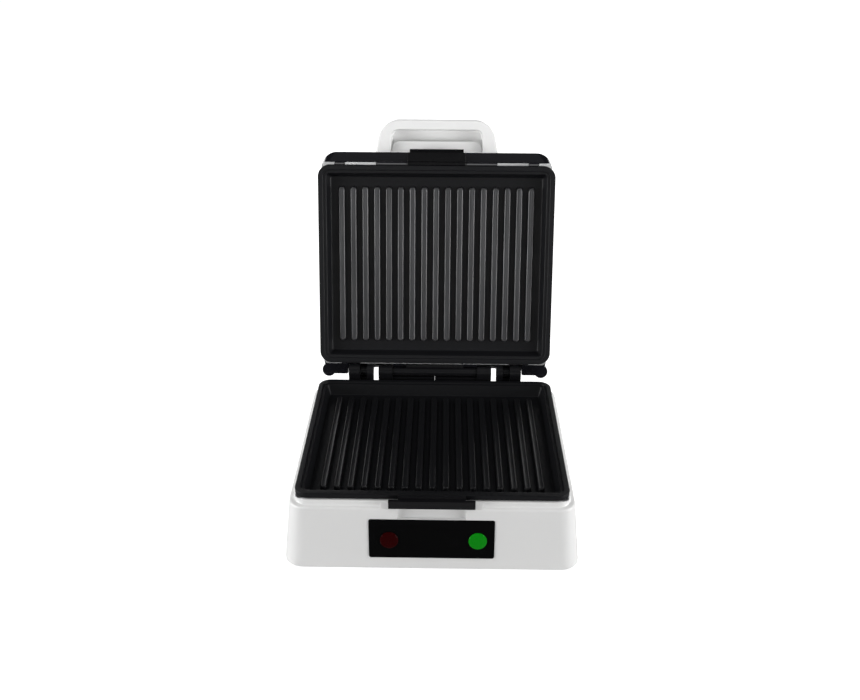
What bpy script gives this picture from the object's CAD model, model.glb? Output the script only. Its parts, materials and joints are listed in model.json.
"""Dresses the packed sandwich toaster: moulded housing, ribbed plates, lid, handle, hinge, lamps.

Every shape is drawn in millimetres in one of a few places (see Place), by bmesh operators, and is
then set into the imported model's own frame.
"""

from __future__ import annotations

import json
import logging
import math
from dataclasses import dataclass, field, replace
from enum import Enum
from typing import Callable, Sequence

import bmesh
import bpy
from bmesh.types import BMEdge, BMesh, BMFace, BMVert
from bpy.types import ID, Material, Node, NodeSocket, NodeTree, Object
from mathutils import Matrix, Vector

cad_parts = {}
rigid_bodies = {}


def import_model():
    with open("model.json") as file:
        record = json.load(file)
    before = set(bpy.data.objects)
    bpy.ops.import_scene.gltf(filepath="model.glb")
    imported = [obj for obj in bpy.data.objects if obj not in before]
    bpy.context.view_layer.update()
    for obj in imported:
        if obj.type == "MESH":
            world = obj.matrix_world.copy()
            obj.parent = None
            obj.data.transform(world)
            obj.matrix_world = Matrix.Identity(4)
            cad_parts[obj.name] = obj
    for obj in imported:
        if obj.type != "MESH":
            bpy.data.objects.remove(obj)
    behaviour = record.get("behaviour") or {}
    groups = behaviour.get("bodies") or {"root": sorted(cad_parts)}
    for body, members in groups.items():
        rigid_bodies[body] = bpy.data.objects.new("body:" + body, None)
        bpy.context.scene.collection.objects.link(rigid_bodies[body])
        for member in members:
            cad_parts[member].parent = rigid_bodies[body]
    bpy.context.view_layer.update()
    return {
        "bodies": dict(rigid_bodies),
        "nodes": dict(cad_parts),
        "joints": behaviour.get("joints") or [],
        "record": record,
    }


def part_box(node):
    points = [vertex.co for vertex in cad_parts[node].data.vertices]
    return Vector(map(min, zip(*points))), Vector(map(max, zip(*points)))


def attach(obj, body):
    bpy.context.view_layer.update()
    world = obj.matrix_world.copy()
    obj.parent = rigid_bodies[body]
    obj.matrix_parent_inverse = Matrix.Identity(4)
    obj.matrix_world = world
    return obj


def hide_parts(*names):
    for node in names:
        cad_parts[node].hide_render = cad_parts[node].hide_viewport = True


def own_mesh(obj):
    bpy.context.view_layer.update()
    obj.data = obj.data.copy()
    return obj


LOG = logging.getLogger("sandwich_toaster")
MM = 0.001
Point = tuple[float, float, float]
Colour = Point
Box = tuple[Point, Point]
Span = tuple[float, float]
Pairs = tuple[Span, ...]
Triples = tuple[Point, ...]


def shift(x: float, y: float, z: float) -> Matrix:
    """Gives a move along the three directions."""
    return Matrix.Translation((x, y, z))


def turn(degrees: float, axis: str) -> Matrix:
    """Gives a turn round one of the three directions."""
    return Matrix.Rotation(math.radians(degrees), 4, axis)


def link(name: str, data: ID) -> Object:
    """Makes an object of a mesh, a light or a camera and puts it in the scene.

    Args:
        name: The object's name.
        data: What it shows.

    Returns:
        The object.
    """
    item = bpy.data.objects.new(name, data)
    bpy.context.scene.collection.objects.link(item)
    return item


# ------------------------------------------------------------------ where things are drawn
class Place(Enum):
    """The places a shape can be drawn in."""

    BASE = "depth below the plane where the plates meet"
    LID = "depth into the open lid"
    FLOOR = "height above the floor"
    FRONT = "on the front wall, out of its upper edge"
    REAR = "on the rear wall, out of its upper edge"
    PART = "the finished part's own millimetres"


class Body(Enum):
    """The bodies that a piece can move with."""

    BASE = "base"
    LID = "lid"
    LOWER_LATCH = "lower_latch"
    UPPER_LATCH = "upper_latch"


class Ends(Enum):
    """What a loft does at its two ends."""

    CAPPED = "both end outlines keep their faces"
    LOOPED = "the last outline joins the first"


@dataclass(frozen=True)
class Layout:
    """The toaster's main sizes, in millimetres, and the places that follow from them."""

    middle_y: float
    parting_z: float
    plate_width: float = 240.0
    plate_length: float = 204.0
    plate_corner: float = 12.0
    hinge_y: float = 213.5
    hinge_up: float = 3.7
    lid_angle: float = 105.5
    wall_top: float = 11.9
    wall_reach: float = 5.2
    wall_tilt: float = 5.945

    @classmethod
    def from_frame(cls) -> Layout:
        """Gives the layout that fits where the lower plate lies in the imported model."""
        low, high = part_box("lower_plate")
        return cls(middle_y=-low.y / MM, parting_z=high.z / MM + 1.0)

    def between(self, drawn: Place, wanted: Place) -> Matrix:
        """Gives the way from one place's millimetres to another's."""
        return self.matrix(wanted).inverted() @ self.matrix(drawn)

    def matrix(self, place: Place) -> Matrix:
        """Gives the way from a place to the part's frame.

        Args:
            place: Where a shape was drawn.

        Returns:
            The matrix from millimetres in that place to metres in the frame.
        """
        to_middle = shift(0.0, -self.middle_y, 0.0)
        wall_edge = shift(0.0, -self.wall_reach, self.parting_z - self.wall_top)
        wall = wall_edge @ turn(90.0 - self.wall_tilt, "X")
        half_way = shift(0.0, self.plate_length / 2, 0.0)
        local = {
            Place.PART: Matrix.Identity(4),
            Place.FLOOR: to_middle,
            Place.BASE: to_middle
            @ shift(0.0, 0.0, self.parting_z)
            @ Matrix.Scale(-1.0, 4, (0.0, 0.0, 1.0)),
            Place.LID: to_middle
            @ shift(0.0, self.hinge_y, self.parting_z + self.hinge_up)
            @ turn(-self.lid_angle, "X")
            @ shift(0.0, -self.hinge_y, -self.hinge_up),
            Place.FRONT: to_middle @ wall,
            Place.REAR: to_middle @ half_way @ turn(180.0, "Z") @ half_way.inverted() @ wall,
        }[place]
        return Matrix.Scale(MM, 4) @ local

    def sunk(self, box: Box) -> Shape:
        """Makes a block of a box that is given in Place.BASE.

        Args:
            box: Its corners, whose third numbers are depths.

        Returns:
            The block, drawn in Place.FLOOR.
        """
        (left, front, shallow), (right, back, deep) = box
        top = self.parting_z
        return Shape.block((left, front, top - deep), (right, back, top - shallow))


@dataclass(frozen=True)
class Plan:
    """An outline with round corners: its width, its two ends along y and its corner radii."""

    width: float
    front: float
    back: float
    corner: float
    steps: int = 12
    back_corner: float | None = None

    def moved_in(self, inset: float, least: float = 0.4) -> Plan:
        """Gives the outline set in on every side.

        Args:
            inset: How far it moves in; less than zero moves it out.
            least: The smallest corner radius.

        Returns:
            The smaller outline.
        """
        width, corner = self.width - 2 * inset, max(self.corner - inset, least)
        front, back = self.front + inset, self.back - inset
        return replace(self, width=width, front=front, back=back, corner=corner)


Ring = tuple[Plan, float]


# ------------------------------------------------------------------ shapes
class Shape:
    """A mesh in millimetres that grows by bmesh operators."""

    apart: float = 30.0  # the room between two outlines of a loft while they are joined
    close: float = 1e-3  # how near two corners are to count as one after a boolean step
    wire_sides: int = 8
    coil_steps: int = 20

    def __init__(self) -> None:
        """Starts an empty shape."""
        self.bm: BMesh = bmesh.new()

    @classmethod
    def of_node(cls, node: str, merge: float = 0.03, flat: float = 0.6) -> Shape:
        """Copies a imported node, with its loose triangles joined to whole faces.

        Args:
            node: The node's name.
            merge: How close two corners are joined, in millimetres.
            flat: The angle under which two faces count as one, in degrees.

        Returns:
            The copy, drawn in Place.PART.
        """
        shape = cls()
        bm = shape.bm
        bm.from_mesh(bpy.data.objects[node].data)
        bm.transform(Matrix.Scale(1 / MM, 4))
        bmesh.ops.remove_doubles(bm, verts=bm.verts, dist=merge)
        bmesh.ops.dissolve_degenerate(bm, dist=merge / 3, edges=bm.edges)
        bmesh.ops.dissolve_limit(
            bm, angle_limit=math.radians(flat), verts=bm.verts, edges=bm.edges,
            use_dissolve_boundaries=False,
        )
        return shape

    def quad(self, plan: Plan, height: float) -> list[BMVert]:
        """Lays the flat rectangle that an outline fills.

        Args:
            plan: The outline.
            height: Its place along z.

        Returns:
            The four corners.
        """
        verts = bmesh.ops.create_grid(self.bm, x_segments=1, y_segments=1, size=0.5)["verts"]
        bmesh.ops.scale(self.bm, vec=(plan.width, plan.back - plan.front, 1.0), verts=verts)
        middle = (0.0, (plan.front + plan.back) / 2, height)
        bmesh.ops.translate(self.bm, vec=middle, verts=verts)
        return verts

    def round_corners(self, corners: list[BMVert], radius: float, steps: int) -> None:
        """Rounds corners of a flat outline.

        Args:
            corners: The corners.
            radius: Their new radius.
            steps: How many edges make each of them.
        """
        bmesh.ops.bevel(
            self.bm, geom=corners, offset=radius, offset_type="OFFSET", segments=steps,
            profile=0.5, affect="VERTICES", clamp_overlap=False, material=-1,
        )

    def outline(self, plan: Plan, height: float) -> BMFace:
        """Lays one flat face with round corners.

        Args:
            plan: The outline.
            height: Its place along z.

        Returns:
            The face.
        """
        known = set(self.bm.faces)
        quad = self.quad(plan, height)
        middle = (plan.front + plan.back) / 2
        back_corner = plan.corner if plan.back_corner is None else plan.back_corner
        for radius, first in ((plan.corner, True), (back_corner, False)):
            ends = [vert for vert in quad if vert.is_valid and (vert.co.y < middle) == first]
            self.round_corners(ends, radius, plan.steps)
        return next(face for face in self.bm.faces if face not in known)

    def loft(self, rings: Sequence[Ring], ends: Ends = Ends.CAPPED) -> Shape:
        """Spans a skin over a row of outlines.

        The outlines are joined while they lie far apart, and then move to their own heights, so
        that two outlines in one plane can't be joined askew.

        Args:
            rings: Each outline and its place along z, in order.
            ends: What becomes of the two ends.

        Returns:
            This shape.
        """
        faces = [self.outline(plan, row * self.apart) for row, (plan, _) in enumerate(rings)]
        rows = [list(face.verts) for face in faces]
        pairs = list(zip(faces, faces[1:]))
        if ends is Ends.LOOPED:
            pairs.append((faces[-1], faces[0]))
        for one, two in pairs:
            bmesh.ops.bridge_loops(self.bm, edges=list(one.edges) + list(two.edges))
        inner = faces[1:-1] if ends is Ends.CAPPED else faces
        bmesh.ops.delete(self.bm, geom=inner, context="FACES_ONLY")
        for number, (row, (_, height)) in enumerate(zip(rows, rings)):
            way = (0.0, 0.0, height - number * self.apart)
            bmesh.ops.translate(self.bm, vec=way, verts=row)
        return self.face_out()

    @classmethod
    def block(cls, low: Sequence[float], high: Sequence[float]) -> Shape:
        """Makes a straight block between two corners, as a tool or a blank.

        Args:
            low: Its lowest corner.
            high: Its highest corner.

        Returns:
            The block.
        """
        shape = cls()
        verts = bmesh.ops.create_cube(shape.bm, size=1.0)["verts"]
        bmesh.ops.scale(shape.bm, vec=Vector(high) - Vector(low), verts=verts)
        bmesh.ops.translate(shape.bm, vec=(Vector(high) + Vector(low)) / 2, verts=verts)
        return shape

    @classmethod
    def rod(cls, centre: Sequence[float], radius: float, length: float) -> Shape:
        """Makes a round rod along z, as a tool; its centre is the middle of its lower end."""
        points = ((0.0, 0.0), (radius, 0.0), (radius, length), (0.0, length))
        return cls().turned(points, centre)

    def profile(self, points: Sequence[tuple[float, float]], start: float, end: float) -> Shape:
        """Draws an outline in the y and z plane out along x, from a start to an end."""
        corners = [self.bm.verts.new((start, y, z)) for y, z in points]
        return self.draw_out([self.bm.faces.new(corners)], (end - start, 0.0, 0.0))

    def draw_out(self, faces: list[BMFace], way: Point) -> Shape:
        """Draws flat faces out into a solid.

        Args:
            faces: The faces.
            way: How far they are drawn, along the three directions.

        Returns:
            This shape.
        """
        drawn = bmesh.ops.extrude_face_region(self.bm, geom=faces)["geom"]
        moved = [item for item in drawn if isinstance(item, BMVert)]
        bmesh.ops.translate(self.bm, vec=way, verts=moved)
        return self.face_out()

    def turned(
        self,
        points: Sequence[tuple[float, float]],
        centre: Sequence[float] = (0.0, 0.0, 0.0),
        steps: int = 48,
    ) -> Shape:
        """Spins a profile round the z direction, as on a lathe.

        Args:
            points: The profile's corners, as radius and height.
            centre: Where the lathe's line passes.
            steps: How many steps make the full turn.

        Returns:
            This shape.
        """
        known = set(self.bm.verts)
        foot = Vector(centre)
        row = [self.bm.verts.new(foot + Vector((radius, 0.0, up))) for radius, up in points]
        edges = [self.bm.edges.new(pair) for pair in zip(row, row[1:])]
        bmesh.ops.spin(
            self.bm, geom=row + edges, cent=centre, axis=(0.0, 0.0, 1.0), angle=2 * math.pi,
            steps=steps, use_merge=True, use_duplicate=False,
        )
        fresh = [vert for vert in self.bm.verts if vert not in known]
        bmesh.ops.remove_doubles(self.bm, verts=fresh, dist=1e-4)
        return self.face_out()

    def coil(self, radius: float, wire: float, length: float, turns: int) -> Shape:
        """Winds a round wire into a spring that stands on z = 0.

        Args:
            radius: From the spring's line to the middle of the wire.
            wire: The wire's radius.
            length: The spring's length.
            turns: How many turns it has.

        Returns:
            This shape.
        """
        bm, count = self.bm, turns * self.coil_steps
        bmesh.ops.create_circle(bm, cap_ends=True, segments=self.wire_sides, radius=wire)
        upright = Matrix.Rotation(math.pi / 2, 3, "X")
        bmesh.ops.rotate(bm, verts=bm.verts, cent=(0.0, 0.0, 0.0), matrix=upright)
        bmesh.ops.translate(bm, verts=bm.verts, vec=(radius, 0.0, wire))
        bmesh.ops.spin(
            bm, geom=self.everything(), cent=(0.0, 0.0, 0.0), axis=(0.0, 0.0, 1.0),
            dvec=(0.0, 0.0, (length - 2 * wire) / count), angle=2 * math.pi * turns,
            steps=count, use_duplicate=False,
        )
        return self.face_out()

    def everything(self) -> list[BMVert | BMEdge | BMFace]:
        """Lists all corners, edges and faces."""
        return self.bm.verts[:] + self.bm.edges[:] + self.bm.faces[:]

    def face_out(self) -> Shape:
        """Turns every face outwards, and gives this shape back."""
        bmesh.ops.recalc_face_normals(self.bm, faces=self.bm.faces)
        return self

    def move(self, matrix: Matrix) -> Shape:
        """Moves the shape.

        Args:
            matrix: The move.

        Returns:
            This shape.
        """
        whole = Matrix.Identity(4)
        bmesh.ops.transform(self.bm, matrix=matrix, verts=self.bm.verts, space=whole)
        if matrix.determinant() < 0:
            bmesh.ops.reverse_faces(self.bm, faces=self.bm.faces)
        return self

    def both_sides(self) -> Shape:
        """Adds the same shape on the other side of x = 0.

        Returns:
            This shape.
        """
        copy = bmesh.ops.duplicate(self.bm, geom=self.everything())["geom"]
        verts = [item for item in copy if isinstance(item, BMVert)]
        faces = [item for item in copy if isinstance(item, BMFace)]
        bmesh.ops.scale(self.bm, vec=(-1.0, 1.0, 1.0), verts=verts)
        bmesh.ops.reverse_faces(self.bm, faces=faces)
        return self

    def soften(
        self,
        width: float,
        segments: int = 2,
        over: float = 28.0,
        where: Callable[[BMEdge], bool] = lambda edge: True,
    ) -> Shape:
        """Rounds the hard edges.

        Args:
            width: How much of each face the rounding takes.
            segments: How many strips make it.
            over: The angle between two faces from which an edge counts as hard, in degrees.
            where: Which of those edges are rounded.

        Returns:
            This shape.
        """
        least = math.radians(over)
        closed = [edge for edge in self.bm.edges if len(edge.link_faces) == 2]
        hard = [edge for edge in closed if edge.calc_face_angle(0.0) > least and where(edge)]
        if hard:
            bmesh.ops.bevel(
                self.bm, geom=hard, offset=width, offset_type="OFFSET", segments=segments,
                profile=0.5, affect="EDGES", clamp_overlap=True, material=-1,
            )
        return self

    def cut(self, *tools: Shape) -> Shape:
        """Cuts shapes away, which are used up, and gives this shape back."""
        return self._combine(tools, "DIFFERENCE")

    def add(self, *others: Shape) -> Shape:
        """Joins shapes on, which are used up, and gives this shape back."""
        return self._combine(others, "UNION")

    def common(self, other: Shape) -> Shape:
        """Keeps what it shares with another shape, which is used up, and gives itself back."""
        return self._combine((other,), "INTERSECT")

    def _combine(self, others: Sequence[Shape], how: str) -> Shape:
        """Runs one boolean step with each of the other shapes.

        Args:
            others: The other shapes.
            how: The kind of step.

        Returns:
            This shape.
        """
        for other in others:
            blank, tool = self._as_object("blank"), other._as_object("tool")
            step = blank.modifiers.new("cut", "BOOLEAN")
            step.operation = how
            step.solver = "EXACT"
            step.object = tool
            bpy.context.view_layer.update()
            graph = bpy.context.evaluated_depsgraph_get()
            result = bpy.data.meshes.new_from_object(blank.evaluated_get(graph))
            self.bm.clear()
            self.bm.from_mesh(result)
            for mesh, item in ((blank.data, blank), (tool.data, tool)):
                bpy.data.objects.remove(item)
                bpy.data.meshes.remove(mesh)
            bpy.data.meshes.remove(result)
            bmesh.ops.remove_doubles(self.bm, verts=self.bm.verts, dist=self.close)
        return self

    def as_mesh(self, name: str) -> bpy.types.Mesh:
        """Writes the shape to a new mesh, and gives the mesh.

        Args:
            name: The mesh's name.

        Returns:
            The mesh.
        """
        mesh = bpy.data.meshes.new(name)
        self.bm.to_mesh(mesh)
        return mesh

    def _as_object(self, name: str) -> Object:
        """Makes a passing object of the shape, for a boolean step."""
        return link(name, self.as_mesh(name))


# ------------------------------------------------------------------ shader nodes
Inputs = dict[str | int, object]


def feed(tree: NodeTree, node: Node, inputs: Inputs) -> None:
    """Links sockets to a node's inputs, or sets plain values there.

    Args:
        tree: Where the node is.
        node: The node.
        inputs: A socket or a value for each input, by its name or its number.
    """
    for name, value in inputs.items():
        if isinstance(value, NodeSocket):
            tree.links.new(value, node.inputs[name])
        else:
            node.inputs[name].default_value = value


def add_node(tree: NodeTree, kind: str, inputs: Inputs, **settings: object) -> Node:
    """Adds a shader node.

    Args:
        tree: Where it goes.
        kind: Its type, without the words that all types start with.
        inputs: A socket or a value for each input, by its name or its number.
        settings: Its own settings, such as its operation.

    Returns:
        The node.
    """
    node = tree.nodes.new(f"ShaderNode{kind}")
    for name, value in settings.items():
        setattr(node, name, value)
    feed(tree, node, inputs)
    return node


def object_place(tree: NodeTree) -> NodeSocket:
    """Gives each point's place on its own object."""
    return add_node(tree, "TexCoord", {}).outputs["Object"]


def joined(tree: NodeTree, how: str, one: NodeSocket, two: NodeSocket | float) -> NodeSocket:
    """Joins two values into one, by the named operation."""
    return add_node(tree, "Math", {0: one, 1: two}, operation=how).outputs[0]


def ranged(tree: NodeTree, value: NodeSocket, span: Span, out: Span) -> NodeSocket:
    """Maps a value from one span to another."""
    ends = {"From Min": span[0], "From Max": span[1], "To Min": out[0], "To Max": out[1]}
    return add_node(tree, "MapRange", {"Value": value, **ends}).outputs[0]


def mixed(tree: NodeTree, mask: NodeSocket, one: Colour | NodeSocket, two: Colour) -> NodeSocket:
    """Mixes two colours by a mask."""
    first = one if isinstance(one, NodeSocket) else (*one, 1.0)
    return add_node(tree, "Mix", {0: mask, 6: first, 7: (*two, 1.0)}, data_type="RGBA").outputs[2]


class Effects:
    """The shader node groups that several finishes share. Each is built once."""

    fine_detail: float = 2.0
    wide_detail: float = 4.0
    patch_stretch: Colour = (0.45, 1.0, 1.6)
    patch_edge: Span = (0.35, 0.90)

    @staticmethod
    def _group(name: str, inputs: dict[str, float | Vector], outputs: Sequence[str]) -> NodeTree:
        """Starts a node group.

        Args:
            name: Its name.
            inputs: Its inputs' names and first values.
            outputs: Its outputs' names.

        Returns:
            The group, whose ends are its nodes in and out.
        """
        tree = bpy.data.node_groups.new(name, "ShaderNodeTree")
        for label, value in inputs.items():
            kind = "NodeSocketVector" if isinstance(value, Vector) else "NodeSocketFloat"
            socket = tree.interface.new_socket(label, in_out="INPUT", socket_type=kind)
            socket.default_value = value
        for label in outputs:
            tree.interface.new_socket(label, in_out="OUTPUT", socket_type="NodeSocketFloat")
        tree.nodes.new("NodeGroupInput").name = "in"
        tree.nodes.new("NodeGroupOutput").name = "out"
        return tree

    @staticmethod
    def _noise(tree: NodeTree, place: NodeSocket, size: NodeSocket, detail: float) -> NodeSocket:
        """Adds a noise, and gives its value."""
        inputs = {"Vector": place, "Scale": size, "Detail": detail}
        return add_node(tree, "TexNoise", inputs).outputs[0]

    @classmethod
    def grain(cls) -> NodeTree:
        """Fine grain and wide mottle, which a stretch can draw out into brushed lines.

        Returns:
            The group, with the outputs Height and Mottle.
        """
        name = "surface_grain"
        if name in bpy.data.node_groups:
            return bpy.data.node_groups[name]
        inputs = {"Grain Scale": 1500.0, "Mottle Scale": 20.0, "Stretch": Vector((1.0, 1.0, 1.0))}
        tree = cls._group(name, inputs, ("Height", "Mottle"))
        given = tree.nodes["in"].outputs
        ways = {0: object_place(tree), 1: given["Stretch"]}
        place = add_node(tree, "VectorMath", ways, operation="MULTIPLY").outputs[0]
        fine = cls._noise(tree, place, given["Grain Scale"], cls.fine_detail)
        wide = cls._noise(tree, place, given["Mottle Scale"], cls.wide_detail)
        feed(tree, tree.nodes["out"], {"Height": fine, "Mottle": wide})
        return tree

    @classmethod
    def handling(cls) -> NodeTree:
        """Faint wiped and handled patches.

        Returns:
            The group, with the output Wiped.
        """
        name = "handling_marks"
        if name in bpy.data.node_groups:
            return bpy.data.node_groups[name]
        tree = cls._group(name, {"Patch Scale": 30.0, "Amount": 0.2}, ("Wiped",))
        given = tree.nodes["in"].outputs
        ways = {0: object_place(tree), 1: cls.patch_stretch}
        warp = add_node(tree, "VectorMath", ways, operation="MULTIPLY").outputs[0]
        patch = cls._noise(tree, warp, given["Patch Scale"], cls.fine_detail)
        edge = ranged(tree, patch, cls.patch_edge, (0.0, 1.0))
        feed(tree, tree.nodes["out"], {"Wiped": joined(tree, "MULTIPLY", edge, given["Amount"])})
        return tree


# ------------------------------------------------------------------ finishes
@dataclass(frozen=True)
class Finish:
    """A surface with grain, mottle and handled patches; plain values sit on the shader itself."""

    name: str
    slot: str
    tone: Colour
    drift: Colour
    roughness: tuple[float, float]
    grain: float = 1500.0
    grain_depth: float = 0.00001
    mottle: float = 18.0
    mottle_span: Span = (0.3, 0.7)
    stretch: Colour = (1.0, 1.0, 1.0)
    wiped: float = 0.05
    metallic: float = 0.0
    specular: float = 0.5
    coat: float = 0.0
    coat_roughness: float = 0.08

    def material(self) -> Material:
        """Gives the material, built at its first use.

        Returns:
            The material.
        """
        if self.name in bpy.data.materials:
            return bpy.data.materials[self.name]
        material = bpy.data.materials.new(self.name)
        material.use_nodes = True
        tree = material.node_tree
        shader = tree.nodes["Principled BSDF"]
        feed(tree, shader, {
            "Metallic": self.metallic, "Specular IOR Level": self.specular,
            "Coat Weight": self.coat, "Coat Roughness": self.coat_roughness,
        })
        sizes = {"Grain Scale": self.grain, "Mottle Scale": self.mottle, "Stretch": self.stretch}
        grain = self._placed(tree, Effects.grain(), sizes)
        marks = self._placed(tree, Effects.handling(), {"Amount": self.wiped})
        self.paint(tree, shader, grain, marks)
        raised = {"Strength": 1.0, "Distance": self.grain_depth, "Height": self.height(tree, grain)}
        feed(tree, shader, {"Normal": add_node(tree, "Bump", raised).outputs["Normal"]})
        return material

    def paint(self, tree: NodeTree, shader: Node, grain: Node, marks: Node) -> None:
        """Feeds the shader's colour and roughness.

        Args:
            tree: The material's nodes.
            shader: Its Principled BSDF.
            grain: The grain group.
            marks: The handling group.
        """
        mottle = grain.outputs["Mottle"]
        rough = ranged(tree, mottle, self.mottle_span, self.roughness)
        feed(tree, shader, {
            "Base Color": mixed(tree, mottle, self.tone, self.drift),
            "Roughness": joined(tree, "ADD", rough, marks.outputs["Wiped"]),
        })

    def height(self, tree: NodeTree, grain: Node) -> NodeSocket:
        """Gives the output that raises the surface."""
        return grain.outputs["Height"]

    @staticmethod
    def _placed(tree: NodeTree, group: NodeTree, values: dict[str, object]) -> Node:
        """Places a shared group in a material, with this finish's own values."""
        return add_node(tree, "Group", values, node_tree=group)


@dataclass(frozen=True)
class NonStick(Finish):
    """A baked non-stick coat, rubbed paler on the tops of the ribs (the attribute rubbed)."""

    coat_roughness: float = 0.34
    coat_ior: float = 2.0
    rubbed_tone: Colour = (0.009, 0.0096, 0.0125)
    rubbed_roughness: float = 0.38
    rubbed_gloss: float = 0.85
    streak_grain: float = 900.0
    streak_mottle: float = 420.0
    streak_stretch: Colour = (1.0, 0.03, 0.03)
    streak_span: Span = (0.25, 0.75)
    streak_cover: Span = (0.45, 1.0)

    def paint(self, tree: NodeTree, shader: Node, grain: Node, marks: Node) -> None:
        """Feeds the shader's colour, roughness and gloss, by how rubbed the coat is.

        Args:
            tree: The material's nodes.
            shader: Its Principled BSDF.
            grain: The grain group.
            marks: The handling group.
        """
        rubbed = add_node(tree, "Attribute", {}, attribute_name="rubbed").outputs["Fac"]
        drawn = {
            "Grain Scale": self.streak_grain, "Mottle Scale": self.streak_mottle,
            "Stretch": self.streak_stretch,
        }
        streak = self._placed(tree, Effects.grain(), drawn).outputs["Mottle"]
        uneven = ranged(tree, streak, self.streak_span, self.streak_cover)
        mask = joined(tree, "MULTIPLY", uneven, rubbed)
        coat = mixed(tree, grain.outputs["Mottle"], self.tone, self.drift)
        rough = ranged(tree, mask, (0.0, 1.0), (self.roughness[0], self.rubbed_roughness))
        feed(tree, shader, {
            "Base Color": mixed(tree, mask, coat, self.rubbed_tone),
            "Coat IOR": self.coat_ior,
            "Coat Weight": joined(tree, "MULTIPLY", mask, self.rubbed_gloss),
            "Roughness": joined(tree, "ADD", rough, marks.outputs["Wiped"]),
        })


@dataclass(frozen=True)
class LampLens(Finish):
    """A coloured lens with small prisms under its dome, lit by its own glow."""

    glow: Colour = (0.0, 0.0, 0.0)
    prism: float = 620.0

    def paint(self, tree: NodeTree, shader: Node, grain: Node, marks: Node) -> None:
        """Feeds the shader's colour and roughness, and sets its glow."""
        super().paint(tree, shader, grain, marks)
        feed(tree, shader, {"Emission Color": (*self.glow, 1.0), "Emission Strength": 1.0})

    def height(self, tree: NodeTree, grain: Node) -> NodeSocket:
        """Gives the prisms' height."""
        inputs = {"Vector": object_place(tree), "Scale": self.prism}
        return add_node(tree, "TexVoronoi", inputs).outputs["Distance"]


WHITE = Finish(
    "gloss_white_plastic", "white_plastic", (0.785, 0.785, 0.78), (0.79, 0.79, 0.785),
    (0.32, 0.325), grain=2200.0, grain_depth=0.000003, wiped=0.0, coat=0.08)
GRIP_WHITE = Finish(
    "handle_white_plastic", "white_plastic", (0.86, 0.86, 0.855), (0.87, 0.87, 0.865),
    (0.32, 0.34), grain=2200.0, grain_depth=0.000006, wiped=0.01)
PALE = Finish(
    "pale_grey_plastic", "grey_plastic", (0.55, 0.55, 0.545), (0.58, 0.58, 0.57),
    (0.42, 0.52), grain=1200.0, grain_depth=0.00003)
GLOSS_BLACK = Finish(
    "gloss_black_plastic", "black_gloss", (0.006, 0.006, 0.008), (0.008, 0.008, 0.011),
    (0.06, 0.10), grain=1800.0, grain_depth=0.000002, wiped=0.03)
PANEL_BLACK = Finish(
    "smoked_panel", "black_gloss", (0.0014, 0.0014, 0.0016), (0.0020, 0.0020, 0.0022),
    (0.12, 0.18), grain=1800.0, grain_depth=0.000002, specular=0.04)
BLACK = Finish(
    "satin_black_plastic", "black_plastic", (0.004, 0.004, 0.005), (0.006, 0.006, 0.007),
    (0.32, 0.44), grain=1400.0, grain_depth=0.00002, specular=0.2)
LATCH_BLACK = Finish(
    "gloss_latch_plastic", "black_gloss", (0.0025, 0.0025, 0.0030), (0.0040, 0.0040, 0.0046),
    (0.24, 0.34), grain=1400.0, grain_depth=0.00001, specular=0.10)
COAT = NonStick(
    "non_stick_coat", "non_stick", (0.0035, 0.0037, 0.0048), (0.0050, 0.0052, 0.0065),
    (0.42, 0.48), grain=1600.0, grain_depth=0.00002, wiped=0.08, specular=0.28)
SHADED_COAT = NonStick(
    "non_stick_coat_below", "non_stick", (0.0044, 0.0046, 0.0056), (0.0056, 0.0058, 0.0068),
    (0.46, 0.52), grain=1600.0, grain_depth=0.00002, wiped=0.06, specular=0.16,
    rubbed_tone=(0.0050, 0.0052, 0.0062), rubbed_roughness=0.44, rubbed_gloss=0.10)
SHEET = Finish(
    "reflector_sheet_metal", "reflector_sheet", (0.62, 0.63, 0.64), (0.70, 0.70, 0.70),
    (0.22, 0.36), grain=700.0, grain_depth=0.000006, stretch=(1.0, 0.04, 0.04), metallic=1.0)
STEEL = Finish(
    "zinc_plated_steel", "steel", (0.50, 0.50, 0.50), (0.62, 0.61, 0.58),
    (0.24, 0.38), grain=900.0, grain_depth=0.000008, metallic=1.0)
BLACKENED = Finish(
    "blackened_steel", "steel", (0.004, 0.004, 0.005), (0.006, 0.006, 0.007),
    (0.30, 0.42), grain=1400.0, grain_depth=0.00001, specular=0.2)
HEATER = Finish(
    "heater_tube_steel", "element_steel", (0.20, 0.19, 0.18), (0.32, 0.29, 0.26),
    (0.40, 0.58), grain=1100.0, grain_depth=0.00001, metallic=0.9)
RUBBER = Finish(
    "black_rubber", "rubber", (0.012, 0.012, 0.012), (0.020, 0.020, 0.020),
    (0.70, 0.85), grain=1300.0, grain_depth=0.00005, specular=0.3)
CERAMIC = Finish(
    "glazed_ceramic", "ceramic", (0.74, 0.71, 0.63), (0.80, 0.78, 0.71),
    (0.28, 0.40), grain=900.0, grain_depth=0.00001)
SLEEVE = Finish(
    "silicone_sleeve", "lead_sleeve", (0.42, 0.05, 0.03), (0.50, 0.07, 0.04),
    (0.45, 0.55), grain=1000.0, grain_depth=0.00002)
DARK_SLEEVE = Finish(
    "black_silicone_sleeve", "lead_sleeve", (0.010, 0.010, 0.010), (0.016, 0.016, 0.016),
    (0.45, 0.55), grain=1000.0, grain_depth=0.00002, specular=0.3)
BULB = Finish(
    "lamp_bulb_glass", "bulb_glass", (0.80, 0.50, 0.30), (0.86, 0.58, 0.36),
    (0.10, 0.16), grain=900.0, grain_depth=0.000004)
RED = LampLens(
    "red_lamp_lens", "red_lens", (0.012, 0.0003, 0.0006), (0.018, 0.0006, 0.0010),
    (0.14, 0.20), specular=0.03, grain_depth=0.0002, glow=(0.005, 0.0, 0.0))
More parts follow.
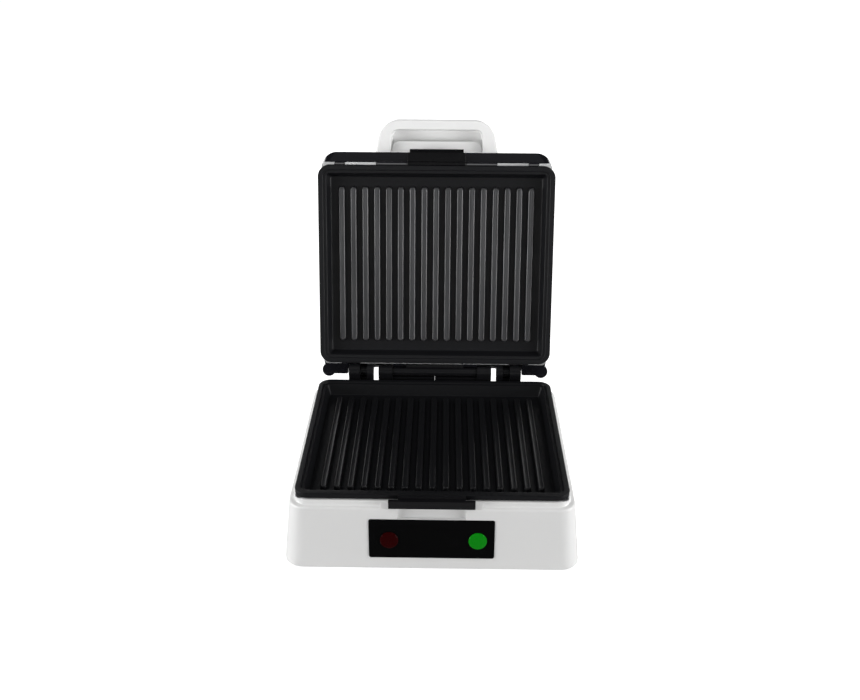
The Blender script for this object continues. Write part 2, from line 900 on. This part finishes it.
GREEN = LampLens(
    "green_lamp_lens", "green_lens", (0.001, 0.08, 0.002), (0.001, 0.11, 0.003),
    (0.14, 0.20), specular=0.12, grain_depth=0.0002, glow=(0.0, 0.11, 0.001))

# each lamp's node, its place along x and its finish, and how far both sit below the wall's edge
LAMPS = (("red_lens", -37.1, RED), ("green_lens", 40.3, GREEN))
LAMP_DROP = 31.0
# room behind each latch for its clip plate and for its stem, as depths in Place.BASE or Place.LID
CLIP_ROOM: Box = ((-37.3, 0.2, 8.2), (37.3, 4.0, 13.8))
STEM_ROOM: Box = ((-14.3, -8.0, 8.4), (14.3, 3.0, 11.0))


# ------------------------------------------------------------------ the bench
@dataclass
class Bench:
    """Turns shapes into finished objects of the scene."""

    layout: Layout
    nodes: dict[str, Object]
    pieces: list[Object] = field(default_factory=list)

    def set_in(
        self,
        name: str,
        shape: Shape,
        place: Place,
        body: Body,
        finish: Finish,
        replaces: Sequence[str] = (),
        crease: float = 34.0,
    ) -> Object:
        """Moves a shape to its place in the frame and makes its object.

        Args:
            name: The piece's name.
            shape: Its shape, which is used up.
            place: Where the shape was drawn.
            body: The body it moves with.
            finish: Its finish.
            replaces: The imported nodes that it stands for.
            crease: The angle from which an edge stays hard, in degrees.

        Returns:
            The finished object.
        """
        bm = shape.bm
        matrix = self.layout.matrix(place)
        bm.transform(matrix)
        if matrix.determinant() < 0:
            bmesh.ops.reverse_faces(bm, faces=bm.faces)
        for face in bm.faces:
            face.smooth = True
        for edge in bm.edges:
            edge.smooth = edge.calc_face_angle(0.0) < math.radians(crease)
        mesh = shape.as_mesh(name)
        bm.free()
        piece = link(name, mesh)
        piece.modifiers.new("even_shading", "WEIGHTED_NORMAL").keep_sharp = True
        mesh.materials.append(finish.material())
        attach(piece, body.value)
        if replaces:
            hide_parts(*replaces)
        self.pieces.append(piece)
        LOG.info("%s: %d faces, rides on %s", name, len(mesh.polygons), body.value)
        return piece

    def soft_copy(
        self, name: str, node: str, body: Body, finish: Finish, width: float, segments: int = 2,
    ) -> None:
        """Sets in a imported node's own form with its hard edges rounded.

        Args:
            name: The piece's name.
            node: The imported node.
            body: The body it moves with.
            finish: Its finish.
            width: The width of the rounding.
            segments: How many strips make it.
        """
        shape = Shape.of_node(node).soften(width, segments)
        self.set_in(name, shape, Place.PART, body, finish, [node])

    def dress(self, node: str, finish: Finish) -> None:
        """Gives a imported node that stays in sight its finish.

        Args:
            node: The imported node.
            finish: Its finish.
        """
        mesh = self.nodes[node].data
        mesh.materials.clear()
        mesh.materials.append(finish.material())
        LOG.info("%s: kept, dressed in %s", node, finish.name)


# ------------------------------------------------------------------ cooking plates
@dataclass
class CookingPlate:
    """One cast plate with a rounded rim, a step, a pan and ribs with rubbed tops.

    The rim and the underside are insets from the outline and depths. A rib's outline is given by
    its inset at the sides, its inset at the ends and its depth.
    """

    node: str
    place: Place
    body: Body
    finish: Finish
    rim: Pairs = (
        (13.2, 13.0), (12.3, 12.86), (11.7, 12.4), (11.35, 11.7), (8.45, 3.1), (8.2, 2.7),
        (7.8, 2.5), (5.7, 2.5), (5.3, 2.35), (5.1, 2.0), (5.0, 1.35), (4.75, 1.08), (4.3, 1.0),
        (0.9, 1.0), (0.4, 1.12), (0.1, 1.45), (0.0, 1.95), (0.0, 5.5), (0.15, 5.85), (0.5, 6.0),
    )
    under: Pairs = ((6.93, 6.0), (9.6, 14.9), (10.4, 15.75), (11.6, 16.0))
    least_corner: float = 1.6
    latch_notch: Box = ((-29.7, -1.0, 2.5), (29.7, 1.9, 5.1))
    rear_tab: Box = ((78.0, 203.0, 4.0), (98.0, 205.2, 5.98))
    tab_round: float = 0.4
    rib_count: int = 17
    rib_pitch: float = 12.1
    rib_width: float = 6.2
    rib_from_edge: float = 21.5
    rib: Triples = (
        (-0.55, 0.0, 13.1), (-0.35, 0.0, 12.8), (-0.05, 0.1, 12.3), (0.2, 0.5, 10.1),
        (0.35, 0.8, 9.5), (0.65, 1.2, 9.14), (1.0, 1.6, 9.0), (1.35, 2.0, 9.03), (2.0, 2.6, 9.22),
        (2.6, 3.2, 9.28),
    )
    rubbed_above: float = 9.6

    def body_shape(self, layout: Layout) -> Shape:
        """Makes the plate without its ribs.

        Args:
            layout: The toaster's main sizes.

        Returns:
            The plate.
        """
        edge = Plan(layout.plate_width, 0.0, layout.plate_length, layout.plate_corner)
        rows, least = self.rim + self.under, self.least_corner
        shape = Shape().loft([(edge.moved_in(inset, least), depth) for inset, depth in rows])
        tab = Shape.block(*self.rear_tab).soften(self.tab_round).both_sides()
        return shape.cut(Shape.block(*self.latch_notch)).add(tab)

    def add_ribs(self, shape: Shape, layout: Layout) -> None:
        """Adds the row of ribs, and marks how rubbed each corner is.

        Args:
            shape: The plate.
            layout: The toaster's main sizes.
        """
        rubbed = shape.bm.verts.layers.float.new("rubbed")
        half = self.rib_count // 2
        front, back = self.rib_from_edge, layout.plate_length - self.rib_from_edge
        rings = []
        for inset, slope, depth in self.rib:
            width = self.rib_width - 2 * inset
            plan = Plan(width, front + slope, back - slope, width / 2 - 0.01, steps=6)
            rings.append((plan, depth))
        for number in range(-half, half + 1):
            known = set(shape.bm.verts)
            shape.loft(rings)
            fresh = [vert for vert in shape.bm.verts if vert not in known]
            way = (number * self.rib_pitch, 0.0, 0.0)
            bmesh.ops.translate(shape.bm, vec=way, verts=fresh)
            for vert in fresh:
                vert[rubbed] = 1.0 if vert.co.z < self.rubbed_above else 0.0

    def build(self, bench: Bench) -> None:
        """Sets the plate in.

        Args:
            bench: Where pieces are finished.
        """
        shape = self.body_shape(bench.layout)
        self.add_ribs(shape, bench.layout)
        name = f"{self.node}_cast"
        bench.set_in(name, shape, self.place, self.body, self.finish, [self.node])


# ------------------------------------------------------------------ base
@dataclass(frozen=True)
class Screw:
    """A pan head screw with a cross recess.

    Its point is how much thinner its end is, and over what length. The crown's outline and the
    recess are shares of the head's radius and height.
    """

    length: float
    radius: float = 3.0
    height: float = 1.6
    point: tuple[float, float] = (0.5, 1.2)
    recess: tuple[float, float] = (0.56, 0.11)
    recess_span: tuple[float, float] = (0.35, 1.6)
    crown: Pairs = ((1.0, 0.35), (0.92, 0.68), (0.7, 0.9), (0.35, 1.0), (0.0, 1.0))

    def add_to(self, target: Shape, place: Matrix) -> None:
        """Adds the screw, whose head stands on z = 0.

        Args:
            target: The shape it joins.
            place: Where it goes.
        """
        wide, high, end = self.radius, self.height, -self.length
        shank = wide / 2
        thinner, taper = self.point
        points = [(0.0, end), (shank - thinner, end), (shank, end + taper), (shank, 0.0)]
        points += [(wide, 0.0), *((wide * out, high * up) for out, up in self.crown)]
        screw = Shape().turned(points, steps=28)
        long, thin = (wide * share for share in self.recess)
        floor, over = (high * share for share in self.recess_span)
        for angle in (0.0, 90.0):
            slot = Shape.block((-long, -thin, floor), (long, thin, over))
            screw.cut(slot.move(turn(angle, "Z")))
        mesh = screw.move(place).as_mesh("screw")
        screw.bm.free()
        target.bm.from_mesh(mesh)
        bpy.data.meshes.remove(mesh)


@dataclass
class BaseHousing:
    """The white housing with its lip, latch notch and finger scoop, its cover and its feet.

    Walls and core are given by how far they stand out past the plates, their height and their
    corner radius. Boxes are depths in Place.BASE, apart from the latch block, which is in heights.
    A hole is its radius, where it starts and its length.
    """

    walls: Triples = (
        (9.9, 3.0, 15.6), (10.8, 3.15, 16.4), (11.3, 3.7, 17.0), (11.32, 4.8, 17.0),
        (5.46, 61.0, 15.0), (5.28, 62.1, 15.0), (4.95, 62.9, 14.9), (4.4, 63.35, 14.6),
        (3.8, 63.5, 14.2), (2.2, 63.62, 13.6), (1.6, 63.85, 13.3), (1.3, 64.4, 13.1),
        (1.15, 65.2, 13.0), (1.05, 67.3, 12.9), (0.85, 67.9, 12.7), (0.35, 68.28, 12.3),
        (-0.4, 68.4, 11.6), (-5.1, 68.4, 6.9), (-5.4, 68.3, 6.6), (-5.53, 68.0, 6.47),
        (-5.53, 65.4, 6.47), (-2.1, 65.4, 11.5), (2.2, 60.5, 13.5), (8.5, 3.0, 15.5),
    )
    core: Triples = ((11.0, 3.0, 16.0), (4.7, 63.0, 14.5), (0.4, 67.9, 12.5))
    latch_block: Box = ((-44.1, -11.5, 48.4), (44.1, 2.8, 67.9))
    bar_room: Box = ((-37.9, -12.0, -1.0), (37.9, -3.1, 11.5))
    scoop: Pairs = (
        (-14.0, -10.9), (-1.3, -10.9), (-1.3, -16.2), (-1.5, -16.7), (-3.4, -22.5), (-14.0, -22.5),
    )
    scoop_half: float = 29.8
    recess: Plan = Plan(110.2, -49.2, -10.8, 2.0)
    recess_span: tuple[float, float] = (-1.6, 3.0)
    lamp_hole: Point = (7.3, -12.0, 14.0)
    gland_hole: Point = (6.1, -8.0, 12.0)
    gland_drop: float = 44.5
    foot_inset: float = 14.0
    sole: Pairs = (
        (0.0, 0.5), (5.0, 0.5), (5.6, 0.0), (8.9, 0.0), (9.7, 0.3), (10.0, 0.9), (10.0, 1.9),
        (9.6, 2.2), (9.6, 2.7), (10.0, 3.0), (10.0, 3.6), (9.7, 3.95), (3.0, 3.95), (3.0, 7.2),
        (2.6, 7.7), (0.0, 7.7),
    )
    screw: Screw = Screw(12.0)
    screw_inset: tuple[float, float] = (4.0, 1.0)
    cover_height: float = 3.95

    def shell(self, layout: Layout) -> Shape:
        """Makes the housing, with everything that is cut into it.

        Args:
            layout: The toaster's main sizes.

        Returns:
            The housing, drawn in Place.FLOOR.
        """

        def rings(rows: Triples) -> list[Ring]:
            """Turns rows of reach, height and corner radius into outlines.

            Args:
                rows: The rows.

            Returns:
                Each outline and its height.
            """
            wide, long = layout.plate_width, layout.plate_length
            return [
                (Plan(wide + 2 * reach, -reach, long + reach, corner), height)
                for reach, height, corner in rows
            ]

        block = Shape().loft(rings(self.core)).common(Shape.block(*self.latch_block))
        shell = Shape().loft(rings(self.walls), Ends.LOOPED).add(block)
        scoop = [(y, layout.parting_z + z) for y, z in self.scoop]
        from_front = layout.between(Place.FRONT, Place.FLOOR)
        from_rear = layout.between(Place.REAR, Place.FLOOR)
        holes = [self.hole(x, -LAMP_DROP, self.lamp_hole) for _, x, _ in LAMPS]
        return shell.cut(
            layout.sunk(self.bar_room),
            Shape().profile(scoop, -self.scoop_half, self.scoop_half),
            Shape().loft([(self.recess, up) for up in self.recess_span]).move(from_front),
            layout.sunk(CLIP_ROOM),
            layout.sunk(STEM_ROOM),
            *(hole.move(from_front) for hole in holes),
            self.hole(0.0, -self.gland_drop, self.gland_hole).move(from_rear),
        )

    def build(self, bench: Bench) -> None:
        """Sets in the housing, the cover, the cover's screws and the feet.

        Args:
            bench: Where pieces are finished.
        """
        layout = bench.layout
        bench.set_in("housing", self.shell(layout), Place.FLOOR, Body.BASE, WHITE, ["base_shell"])
        bench.soft_copy("bottom_cover", "base_cover", Body.BASE, PALE, 0.5)
        feet, screws = Shape(), Shape()
        for x, y in self.corners(layout, self.foot_inset, self.foot_inset):
            feet.turned(self.sole, (x, y, 0.0), 40)
        bench.set_in("rubber_feet", feet, Place.FLOOR, Body.BASE, RUBBER, ["feet"])
        for x, y in self.corners(layout, *self.screw_inset):
            self.screw.add_to(screws, shift(x, y, self.cover_height) @ turn(180.0, "X"))
        bench.set_in("cover_fixings", screws, Place.FLOOR, Body.BASE, STEEL, ["cover_screws"])

    @staticmethod
    def hole(x: float, y: float, bore: Point) -> Shape:
        """Makes the tool for a round hole at a place on a wall."""
        radius, start, length = bore
        return Shape.rod((x, y, start), radius, length)

    @staticmethod
    def corners(layout: Layout, side: float, end: float) -> list[tuple[float, float]]:
        """Lists four places, set in from the sides and the ends of the plates."""
        ends = (end, layout.plate_length - end)
        return [(x * (layout.plate_width / 2 - side), y) for x in (-1, 1) for y in ends]


@dataclass
class ControlFront:
    """The smoked panel in the front wall and its two pilot lamps."""

    lens: Pairs = (
        (0.0, -0.9), (4.9, -0.9), (5.0, -8.95), (6.9, -8.95), (7.0, -8.6), (7.0, 0.75),
        (7.85, 0.75), (8.0, 0.9), (8.0, 1.45), (7.9, 1.7), (7.5, 1.95), (6.8, 2.15), (5.6, 2.38),
        (4.0, 2.56), (2.0, 2.67), (0.0, 2.7),
    )

    def build(self, bench: Bench) -> None:
        """Sets in the panel, the lenses, their collars and their bulbs.

        Args:
            bench: Where pieces are finished.
        """
        bench.soft_copy("panel_face", "front_panel", Body.BASE, PANEL_BLACK, 0.45, 3)
        for node, x, finish in LAMPS:
            lens = Shape().turned(self.lens, (x, -LAMP_DROP, 0.0), 56)
            name = f"{node}_dome"
            bench.set_in(name, lens, Place.FRONT, Body.BASE, finish, [node], crease=40.0)
        bench.dress("lamp_collars", PALE)
        bench.dress("lamp_bulbs", BULB)


# ------------------------------------------------------------------ latches
@dataclass
class PlateLatch:
    """A sprung latch: the moulded bar, its steel clip plate and its two coil springs."""

    which: str
    place: Place
    body: Body
    home: Body
    finish: Finish
    spring_radius: float = 1.65
    wire_radius: float = 0.32
    spring_turns: int = 4
    spring_x: float = 33.5
    spring_from: float = -1.45
    spring_length: float = 4.3
    spring_depth: float = 11.0
    travel: float = 2.5

    def build(self, bench: Bench) -> None:
        """Sets the latch in.

        Args:
            bench: Where pieces are finished.
        """
        bar, clip = f"{self.which}_latch", f"{self.which}_latch_clip"
        bench.soft_copy(f"{self.which}_latch_bar", bar, self.body, self.finish, 0.6, 3)
        bench.soft_copy(f"{self.which}_clip_plate", clip, self.body, STEEL, 0.15)
        springs = Shape().coil(
            self.spring_radius, self.wire_radius, self.spring_length, self.spring_turns)
        springs.move(shift(self.spring_x, self.spring_from, self.spring_depth) @ turn(-90.0, "X"))
        springs.both_sides()
        name, node = f"{self.which}_coil_springs", f"{self.which}_latch_springs"
        piece = bench.set_in(name, springs, self.place, self.home, STEEL, [node])
        matrix = bench.layout.matrix(self.place)
        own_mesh(piece)


# ------------------------------------------------------------------ lid
@dataclass
class Lid:
    """The white lid cover and the gloss black frame under it.

    The crown is insets from the outline and depths. Each ring of the frame is a width, two ends
    along y, a corner radius and a depth.
    """

    edge: Plan = Plan(234.0, -12.6, 214.0, 15.0)
    crown: Pairs = (
        (10.0, 35.4), (6.6, 35.2), (4.4, 34.0), (3.0, 31.8), (2.7, 28.0), (2.7, 24.3),
        (2.5, 24.1), (0.5, 24.1), (0.25, 24.25), (0.15, 24.6), (0.0, 30.6), (0.1, 31.9),
        (0.45, 33.1), (1.1, 34.3), (2.0, 35.4), (3.1, 36.3), (4.4, 37.05), (5.9, 37.6),
        (7.6, 37.9), (10.0, 38.0),
    )
    core_rings: tuple[tuple[float, ...], ...] = (
        (231.6, -2.6, 210.0, 8.0, 7.2), (233.0, -12.1, 213.4, 14.6, 15.0),
        (232.4, -11.7, 213.0, 14.6, 24.0),
    )
    frame_rings: tuple[tuple[float, ...], ...] = (
        (232.4, -2.6, 210.6, 7.6, 7.0), (233.1, -3.3, 211.1, 8.3, 7.25),
        (233.95, -12.0, 213.8, 14.6, 14.5), (234.0, -12.45, 213.97, 15.0, 14.95),
        (234.0, -12.6, 214.0, 15.0, 15.5), (233.3, -12.25, 213.65, 15.0, 23.5),
        (233.1, -12.1, 213.5, 14.9, 23.85), (232.5, -11.8, 213.2, 14.6, 24.0),
        (229.2, -10.2, 211.6, 12.8, 24.0), (229.6, -10.4, 211.8, 12.8, 15.0),
        (228.8, -0.8, 208.8, 5.8, 9.5), (228.6, 5.53, 198.47, 6.4, 9.5),
        (228.6, 5.53, 198.47, 6.4, 7.0),
    )
    least_corner: float = 3.0
    latch_block: Box = ((-44.1, -12.6, 7.2), (44.1, 2.8, 24.0))
    web_round: float = 1.2
    post_round: float = 0.4
    web: Box = ((91.6, 209.0, 7.2), (111.7, 217.4, 15.0))
    lug: Pairs = (
        (0.0, 7.0), (6.3, 7.0), (6.8, 7.2), (7.0, 7.7), (7.0, 23.2), (6.8, 23.7), (6.3, 23.9),
        (0.0, 23.9),
    )
    lug_at: Point = (111.7, 213.0, 0.0)
    posts: tuple[Box, ...] = (
        ((93.0, -3.4, 2.0), (103.0, -0.3, 8.0)), ((30.0, -3.6, 2.0), (61.2, -0.3, 8.0)),
    )
    hook_room: Box = ((-29.5, -14.0, -1.0), (29.5, -3.1, 11.0))
    bracket_notch: Box = ((43.9, 205.3, -1.0), (91.2, 235.0, 12.5))
    post_slot: Box = ((58.7, 205.3, -1.0), (64.8, 235.0, 25.0))
    barrel_half: float = 45.0
    barrel_room: float = 4.5

    @staticmethod
    def rings(rows: Sequence[Sequence[float]]) -> list[Ring]:
        """Turns rows of width, two ends, corner radius and depth into outlines."""
        return [(Plan(*row[:4]), row[4]) for row in rows]

    def frame(self, layout: Layout) -> Shape:
        """Makes the frame, with its lugs, posts and latch block, and the room for the hinge.

        Args:
            layout: The toaster's main sizes.

        Returns:
            The frame, drawn in Place.LID.
        """
        core = Shape().loft(self.rings(self.core_rings)).common(Shape.block(*self.latch_block))
        frame = Shape().loft(self.rings(self.frame_rings), Ends.LOOPED)
        web = Shape.block(*self.web).soften(self.web_round, 3)
        lug = Shape().turned(self.lug, self.lug_at)
        posts = [Shape.block(*post).soften(self.post_round) for post in self.posts]
        frame.add(core, *(piece.both_sides() for piece in (web, lug, *posts)))
        barrel = Shape.rod((0.0, 0.0, -self.barrel_half), self.barrel_room, 2 * self.barrel_half)
        return frame.cut(
            *(Shape.block(*room) for room in (self.hook_room, CLIP_ROOM, STEM_ROOM)),
            *(Shape.block(*room).both_sides() for room in (self.bracket_notch, self.post_slot)),
            barrel.move(shift(0.0, layout.hinge_y, layout.hinge_up) @ turn(90.0, "Y")),
        )

    def build(self, bench: Bench) -> None:
        """Sets in the cover, the frame and the screws that hold them.

        Args:
            bench: Where pieces are finished.
        """
        edge, least = self.edge, self.least_corner
        cover = Shape().loft([(edge.moved_in(inset, least), depth) for inset, depth in self.crown])
        bench.set_in("lid_cover", cover, Place.LID, Body.LID, WHITE, ["lid_shell"])
        frame = self.frame(bench.layout)
        bench.set_in("gloss_frame", frame, Place.LID, Body.LID, GLOSS_BLACK, ["lid_frame"])
        bench.dress("lid_screws", BLACKENED)
        bench.dress("handle_screws", STEEL)


@dataclass
class Handle:
    """The white handle with its finger pocket and the shelf behind it.

    The pocket's mouth and foot and the shelf's wall are insets and heights. The shelf is a little
    narrower than the pocket, and reaches back past it into the lid.
    """

    root: Plan = Plan(124.4, -45.4, -12.8, 18.0, steps=14)
    tip_width: float = 112.0
    low: float = 15.6
    high: float = 34.6
    edge_round: float = 2.6
    pocket_plan: Plan = Plan(93.0, -35.4, -13.2, 7.0, back_corner=0.5)
    pocket_floor: float = 29.6
    mouth: Pairs = ((-1.0, -1.0), (-0.35, 0.05), (-0.1, 0.3), (0.0, 0.8))
    foot: Pairs = ((0.5, -1.2), (0.9, -0.4), (1.7, 0.0))
    shelf_tip: float = -23.8
    shelf_narrower: float = 1.0
    shelf_reach: float = 14.0
    shelf_corner: float = 8.0
    shelf_floor: float = 21.6
    shelf_wall: Pairs = ((1.4, 0.0), (0.4, 0.4), (0.0, 1.4))
    shelf_over: float = 4.0

    def outside(self) -> Shape:
        """Makes the solid handle, with its long edges rounded.

        Returns:
            The handle without its pocket.
        """
        shape = Shape()
        quad = shape.quad(self.root, self.low)
        tips = [vert for vert in quad if vert.co.y < self.root.back - 1]
        narrow = (self.tip_width / self.root.width, 1.0, 1.0)
        bmesh.ops.scale(shape.bm, vec=narrow, verts=tips)
        shape.round_corners(tips, self.root.corner, self.root.steps)
        shape.draw_out(shape.bm.faces[:], (0.0, 0.0, self.high - self.low))
        away = self.root.back - 0.01

        def long_edge(edge: BMEdge) -> bool:
            """Says whether an edge runs level, and not along the lid."""
            one, two = edge.verts
            return not (one.co.y > away and two.co.y > away) and abs(one.co.z - two.co.z) < 1

        return shape.soften(self.edge_round, 5, where=long_edge)

    def pocket(self) -> Shape:
        """Makes the space that the fingers take, with its shelf.

        Returns:
            The cutter.
        """
        plan = self.pocket_plan
        rings = [(plan.moved_in(inset), self.low + up) for inset, up in self.mouth]
        rings += [(plan.moved_in(inset), self.pocket_floor + up) for inset, up in self.foot]
        width, back = plan.width - self.shelf_narrower, plan.back + self.shelf_reach
        ledge = Plan(width, self.shelf_tip, back, self.shelf_corner)
        wall = [(ledge.moved_in(inset), self.shelf_floor + up) for inset, up in self.shelf_wall]
        wall.append((ledge, self.high + self.shelf_over))
        return Shape().loft(rings).cut(Shape().loft(wall))

    def build(self, bench: Bench) -> None:
        """Sets the handle in."""
        shape = self.outside().cut(self.pocket())
        bench.set_in("handle_grip", shape, Place.LID, Body.LID, GRIP_WHITE, ["handle"], crease=50.0)


# ------------------------------------------------------------------ hinge and insides
@dataclass
class Hinge:
    """The two brackets, the barrel between them, the leaves, the pins and their screws.

    Each bracket screw is its place along x and how far its recess is turned, in radians.
    """

    copies: tuple[tuple[str, str, Body, Finish, float], ...] = (
        ("left_hinge_bracket", "left_bracket", Body.BASE, BLACK, 0.6),
        ("left_hinge_leaf", "left_leaf", Body.LID, BLACKENED, 0.3),
        ("right_hinge_bracket", "right_bracket", Body.BASE, BLACK, 0.6),
        ("right_hinge_leaf", "right_leaf", Body.LID, BLACKENED, 0.3),
        ("wire_barrel", "hinge_barrel", Body.LID, BLACK, 0.4),
        ("hinge_pin_pair", "hinge_pins", Body.BASE, STEEL, 0.4),
    )
    screw: Screw = Screw(13.0)
    screws: Pairs = ((51.65, 0.35), (84.0, 1.1))
    screw_drop: float = 28.0
    screw_head_at: float = 5.15

    def build(self, bench: Bench) -> None:
        """Sets the hinge in, each piece on its own body.

        Args:
            bench: Where pieces are finished.
        """
        for name, node, body, finish, width in self.copies:
            bench.soft_copy(name, node, body, finish, width)
        screws = Shape()
        for x, angle in self.screws:
            place = shift(x, -self.screw_drop, self.screw_head_at)
            self.screw.add_to(screws, place @ Matrix.Rotation(angle, 4, "Z"))
        screws.both_sides()
        name = "bracket_fixings"
        bench.set_in(name, screws, Place.REAR, Body.BASE, STEEL, ["bracket_screws"])
        bench.dress("leaf_screws", BLACKENED)


@dataclass
class Insides:
    """What lies inside: reflectors, elements, clips, thermostat, fuses, terminals and leads."""

    kept: tuple[tuple[str, Finish], ...] = (
        ("lower_reflector", SHEET), ("upper_reflector", SHEET), ("lower_element", HEATER),
        ("upper_element", HEATER), ("lower_clips", STEEL), ("upper_clips", STEEL),
        ("thermostat", CERAMIC), ("lower_fuse", CERAMIC), ("upper_fuse", CERAMIC),
        ("terminal_block", CERAMIC), ("base_wires", SLEEVE), ("lid_wires", DARK_SLEEVE),
    )

    def build(self, bench: Bench) -> None:
        """Dresses what lies inside, and sets in the gland that the cord leaves by.

        Args:
            bench: Where pieces are finished.
        """
        for node, finish in self.kept:
            bench.dress(node, finish)
        bench.soft_copy("cord_outlet_gland", "cord_gland", Body.BASE, RUBBER, 0.4)


# ------------------------------------------------------------------ studio
@dataclass(frozen=True)
class SoftBox:
    """One soft light: where it hangs and its size, in metres, and its power in watts."""

    name: str
    place: Point
    size: tuple[float, float]
    power: float


@dataclass
class Studio:
    """The camera, the pale floor and the soft lights. The camera's place is in millimetres."""

    lens: float = 41.48
    place: Point = (7.8, -852.28, 577.8)
    heading: float = 0.81
    pitch: float = 62.68
    roll: float = 0.222
    aim: Point = (0.0, 0.0, 0.12)
    paper: float = 0.62
    paper_size: float = 30.0
    glow_from: tuple[float, float] = (0.2, 0.7)
    surround: tuple[float, float] = (0.03, 1.0)
    side_boxes: tuple[SoftBox, ...] = (
        SoftBox("front_box", (1.8, -0.9, 0.25), (0.8, 0.6), 18.5),
        SoftBox("box", (1.8, -0.35, 0.3), (0.8, 0.6), 11.0),
        SoftBox("top_box", (1.1, -0.35, 1.7), (0.9, 0.9), 9.5),
        SoftBox("back_box", (0.9, 1.7, 0.6), (0.8, 0.8), 8.0),
    )
    middle_boxes: tuple[SoftBox, ...] = (
        SoftBox("top_box", (0.0, -0.3, 2.0), (1.8, 1.4), 1.3),
        SoftBox("front_box", (0.0, -2.3, 0.75), (1.6, 0.3), 4.0),
    )

    def camera(self) -> None:
        """Creates the camera where the photograph was taken from."""
        data = bpy.data.cameras.new("photo_camera")
        data.lens = self.lens
        data.sensor_width = 36.0
        data.clip_start = 0.01
        data.dof.use_dof = False
        camera = link("photo_camera", data)
        turned = turn(self.heading, "Z") @ turn(self.pitch, "X") @ turn(self.roll, "Z")
        camera.matrix_world = Matrix.Translation(Vector(self.place) * MM) @ turned
        bpy.context.scene.camera = camera

    def floor(self) -> None:
        """Lays a pale floor that reads as white paper to the camera, and glows behind."""
        sheet = Shape()
        bmesh.ops.create_grid(sheet.bm, x_segments=1, y_segments=1, size=self.paper_size)
        mesh = sheet.as_mesh("paper_floor")
        sheet.bm.free()
        floor = link("paper_floor", mesh)
        material = bpy.data.materials.new("white_paper")
        material.use_nodes = True
        tree = material.node_tree
        apart = add_node(tree, "SeparateXYZ", {0: object_place(tree)}).outputs["Y"]
        behind = ranged(tree, apart, self.glow_from, (0.0, 1.0))
        eye = add_node(tree, "LightPath", {}).outputs["Is Camera Ray"]
        feed(tree, tree.nodes["Principled BSDF"], {
            "Base Color": (self.paper, self.paper, self.paper, 1.0),
            "Roughness": 1.0,
            "Specular IOR Level": 0.0,
            "Emission Color": (1.0, 1.0, 1.0, 1.0),
            "Emission Strength": joined(tree, "MAXIMUM", eye, behind),
        })
        mesh.materials.append(material)

    def world(self) -> None:
        """Sets a pale surround, white where the camera sees it and dimmer where it lights."""
        world = bpy.data.worlds.new("pale_surround")
        bpy.context.scene.world = world
        world.use_nodes = True
        tree = world.node_tree
        eye = add_node(tree, "LightPath", {}).outputs["Is Camera Ray"]
        level = ranged(tree, eye, (0.0, 1.0), self.surround)
        back = tree.nodes["Background"]
        feed(tree, back, {"Color": (1.0, 1.0, 1.0, 1.0), "Strength": level})

    def light(self, box: SoftBox, side: str = "", way: float = 1.0) -> None:
        """Hangs one soft box.

        Args:
            box: Its place, size and power.
            side: What its name starts with.
            way: Which side it hangs on, as 1 or -1.
        """
        data = bpy.data.lights.new(side + box.name, "AREA")
        data.shape = "RECTANGLE"
        data.size, data.size_y = box.size
        data.energy = box.power
        lamp = link(side + box.name, data)
        place = Vector((box.place[0] * way, *box.place[1:]))
        lamp.location = place
        lamp.rotation_euler = (Vector(self.aim) - place).to_track_quat("-Z", "Y").to_euler()

    def build(self) -> None:
        """Sets up the whole studio."""
        self.camera()
        self.floor()
        self.world()
        for side, way in (("left_", -1.0), ("right_", 1.0)):
            for box in self.side_boxes:
                self.light(box, side, way)
        for box in self.middle_boxes:
            self.light(box)
        view = bpy.context.scene.view_settings
        view.view_transform = "Standard"
        view.look = "None"


def main() -> None:
    """Builds every piece in order, then the studio."""
    logging.basicConfig(level=logging.INFO, format="%(name)s: %(message)s")
    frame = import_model()
    bench = Bench(Layout.from_frame(), frame["nodes"])
    for part in (
        BaseHousing(),
        ControlFront(),
        CookingPlate("lower_plate", Place.BASE, Body.BASE, SHADED_COAT),
        PlateLatch("lower", Place.BASE, Body.LOWER_LATCH, Body.BASE, BLACK),
        Lid(),
        Handle(),
        CookingPlate("upper_plate", Place.LID, Body.LID, COAT),
        PlateLatch("upper", Place.LID, Body.UPPER_LATCH, Body.LID, LATCH_BLACK),
        Hinge(),
        Insides(),
    ):
        part.build(bench)
        LOG.info("%s done", type(part).__name__)
    Studio().build()
    LOG.info("%d pieces set in", len(bench.pieces))
    bpy.context.view_layer.update()


if __name__ == "__main__":
    main()
